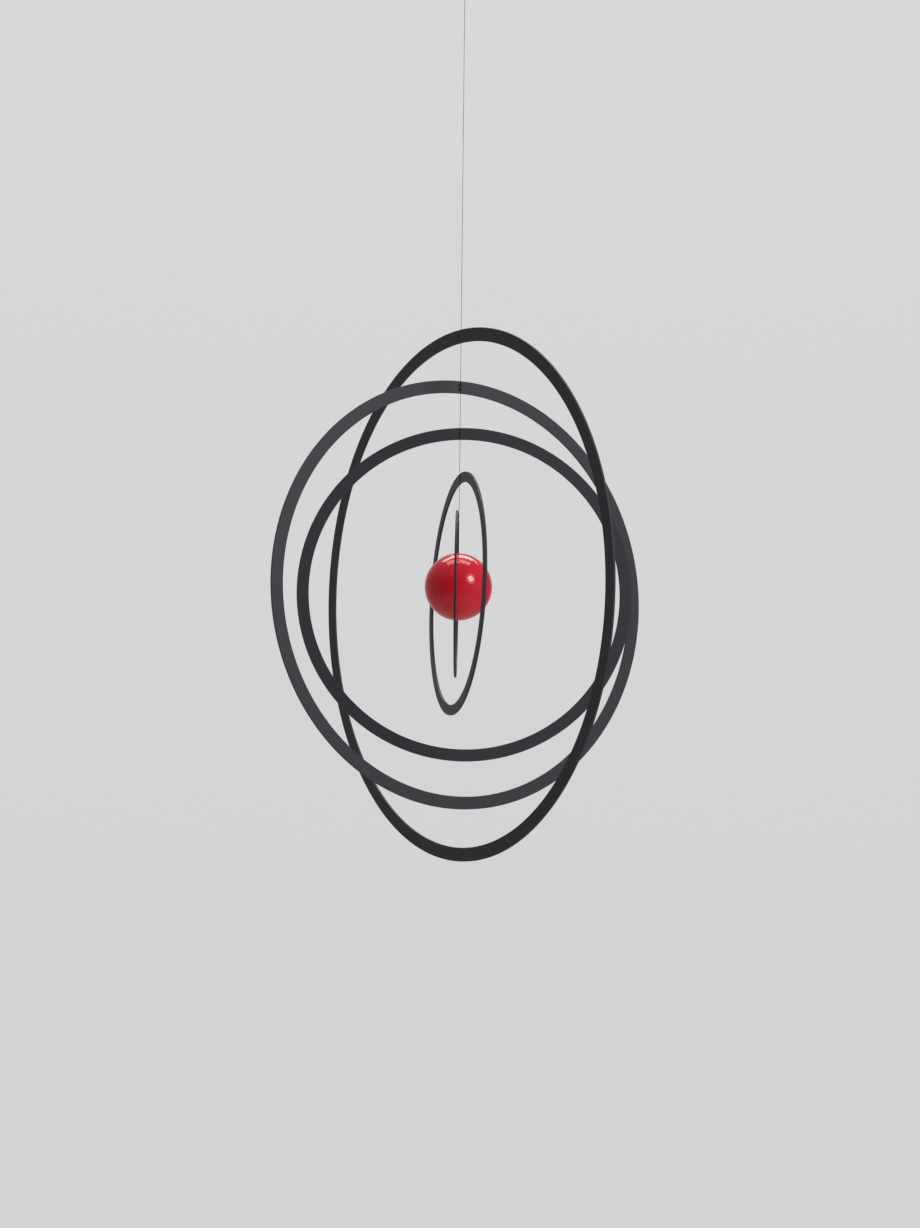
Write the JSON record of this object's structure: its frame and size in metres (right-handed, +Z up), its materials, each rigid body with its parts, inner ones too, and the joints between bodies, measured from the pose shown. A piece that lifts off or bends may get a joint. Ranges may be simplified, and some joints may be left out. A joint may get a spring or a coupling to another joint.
{
  "type": "hanging mobile",
  "caption": "Hanging mobile of flat rings nested one inside the next on a fine thread, each free to turn, with a glossy ball at the centre.",
  "frame": {"origin": "inside of the crown of the thread loop at the top, where a hook bears", "axes": "+Z up along the hanging thread, +Y away from the viewer, +X to the viewer's right"},
  "size_m": [0.2618, 0.3221, 0.6455],
  "materials": {
    "black_ring": "satin",
    "red_lacquer": "gloss",
    "thread": "matte"
  },
  "bodies": {
    "hanger": {"hanging_loop": "thread", "hanging_thread": "thread"},
    "outer_swivel": {"outer_ring": "black_ring", "outer_ring_tie": "thread", "outer_lower_tie": "thread"},
    "second_swivel": {"second_ring": "black_ring", "second_thread": "thread", "second_lower_tie": "thread"},
    "third_swivel": {"third_ring": "black_ring", "third_thread": "thread", "third_lower_tie": "thread"},
    "fourth_swivel": {"fourth_ring": "black_ring", "fourth_thread": "thread", "fourth_lower_tie": "thread"},
    "inner_swivel": {"inner_ring": "black_ring", "inner_thread": "thread", "inner_lower_tie": "thread"},
    "ball_swivel": {"red_ball": "red_lacquer", "ball_thread": "thread"}
  },
  "joints": [
    {"name": "outer_ring_turn", "type": "hinge", "parent": "hanger", "child": "outer_swivel", "pos_m": [0, 0, -0.27085], "axis": [0, 0, 1], "continuous": true},
    {"name": "second_ring_turn", "type": "hinge", "parent": "outer_swivel", "child": "second_swivel", "pos_m": [0, 0, -0.30717], "axis": [0, 0, 1], "continuous": true},
    {"name": "third_ring_turn", "type": "hinge", "parent": "second_swivel", "child": "third_swivel", "pos_m": [0, 0, -0.34073], "axis": [0, 0, 1], "continuous": true},
    {"name": "fourth_ring_turn", "type": "hinge", "parent": "third_swivel", "child": "fourth_swivel", "pos_m": [0, 0, -0.37273], "axis": [0, 0, 1], "continuous": true},
    {"name": "inner_ring_turn", "type": "hinge", "parent": "fourth_swivel", "child": "inner_swivel", "pos_m": [0, 0, -0.39942], "axis": [0, 0, 1], "continuous": true},
    {"name": "ball_turn", "type": "hinge", "parent": "inner_swivel", "child": "ball_swivel", "pos_m": [0, 0, -0.42662], "axis": [0, 0, 1], "continuous": true}
  ]
}
